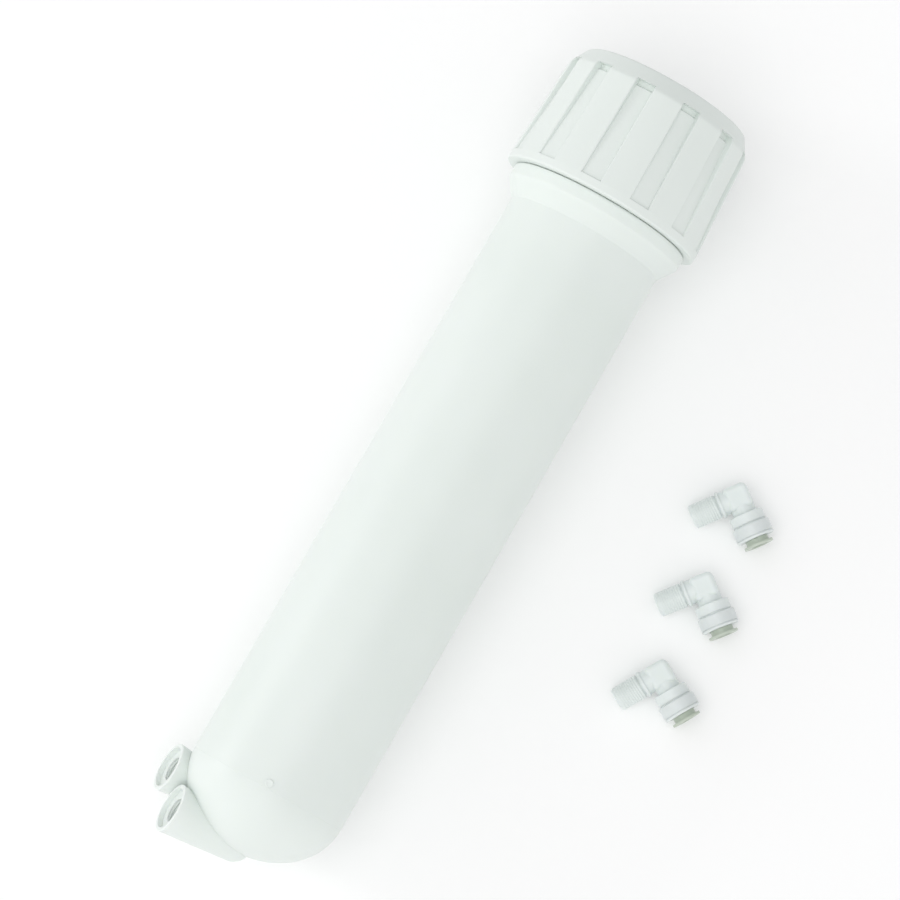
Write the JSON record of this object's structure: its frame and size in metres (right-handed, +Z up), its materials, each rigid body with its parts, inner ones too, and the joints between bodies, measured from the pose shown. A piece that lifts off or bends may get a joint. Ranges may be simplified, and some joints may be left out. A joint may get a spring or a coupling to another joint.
{
  "type": "reverse osmosis unit",
  "caption": "White membrane housing for an aquarium reverse osmosis unit, with grooved screw cap, side ports, spiral wound element and loose push-fit elbows, lying down.",
  "frame": {"origin": "on the bench, under the middle of the whole group's box", "axes": "+X along the lying housing from its dome to its cap, +Z up from the bench, +Y towards the side its ports point to"},
  "size_m": [0.3371, 0.1665, 0.0805],
  "materials": {
    "housing_plastic": "moulded polypropylene, satin",
    "cap_plastic": "moulded polypropylene, satin",
    "fitting_plastic": "moulded acetal, slightly glossy",
    "collet_plastic": "moulded acetal, grey-beige",
    "tube_plastic": "extruded plastic",
    "black_rubber": "moulded rubber, dull",
    "membrane_film": "polyamide membrane on fabric backing",
    "spacer_mesh": "extruded net",
    "wrap_film": "adhesive film wrap",
    "spring_steel": "stamped stainless steel"
  },
  "bodies": {
    "housing": {"housing_body": "housing_plastic", "permeate_tube": "tube_plastic", "permeate_tube_plug": "tube_plastic", "membrane_leaf": "membrane_film", "feed_spacer": "spacer_mesh", "element_wrap": "wrap_film", "lower_end_cap": "tube_plastic", "upper_end_cap": "tube_plastic", "brine_seal": "black_rubber", "lower_tube_o_ring": "black_rubber", "upper_tube_o_ring": "black_rubber"},
    "cap_seal": {"cap_o_ring": "black_rubber"},
    "cap": {"housing_cap": "cap_plastic"},
    "feed_elbow": {"feed_elbow_body": "fitting_plastic", "feed_tube_o_ring": "black_rubber", "feed_seal_washer": "collet_plastic", "feed_retainer": "fitting_plastic"},
    "feed_elbow_collet": {"feed_collet": "collet_plastic", "feed_grab_ring": "spring_steel"},
    "permeate_elbow": {"permeate_elbow_body": "fitting_plastic", "permeate_tube_o_ring": "black_rubber", "permeate_seal_washer": "collet_plastic", "permeate_retainer": "fitting_plastic"},
    "permeate_elbow_collet": {"permeate_collet": "collet_plastic", "permeate_grab_ring": "spring_steel"},
    "drain_elbow": {"drain_elbow_body": "fitting_plastic", "drain_tube_o_ring": "black_rubber", "drain_seal_washer": "collet_plastic", "drain_retainer": "fitting_plastic"},
    "drain_elbow_collet": {"drain_collet": "collet_plastic", "drain_grab_ring": "spring_steel"}
  },
  "joints": [
    {"name": "cap_lift", "type": "slide", "parent": "housing", "child": "cap_seal", "axis": [0.9994, 0, 0.035], "range_m": [0, 0.0176]},
    {"name": "cap_turn", "type": "hinge", "parent": "cap_seal", "child": "cap", "pos_m": [0.14533, 0.043, 0.04117], "axis": [0.9994, 0, 0.035], "range_deg": [0, 1260]},
    {"name": "feed_elbow_lift", "type": "slide", "parent": "housing", "child": "feed_elbow", "axis": [0, 0, 1], "range_m": [0, 0.15]},
    {"name": "feed_collet_push", "type": "slide", "parent": "feed_elbow", "child": "feed_elbow_collet", "axis": [0.6032, 0.7976, 0], "range_m": [0, 0.0014]},
    {"name": "permeate_elbow_lift", "type": "slide", "parent": "housing", "child": "permeate_elbow", "axis": [0, 0, 1], "range_m": [0, 0.15]},
    {"name": "permeate_collet_push", "type": "slide", "parent": "permeate_elbow", "child": "permeate_elbow_collet", "axis": [0.6239, 0.7815, 0], "range_m": [0, 0.0014]},
    {"name": "drain_elbow_lift", "type": "slide", "parent": "housing", "child": "drain_elbow", "axis": [0, 0, 1], "range_m": [0, 0.15]},
    {"name": "drain_collet_push", "type": "slide", "parent": "drain_elbow", "child": "drain_elbow_collet", "axis": [0.5, 0.866, 0], "range_m": [0, 0.0014]}
  ],
  "couplings": [
    {"joint": "cap_lift", "follows": "cap_turn", "m_per_rad": 0.00079577}
  ]
}
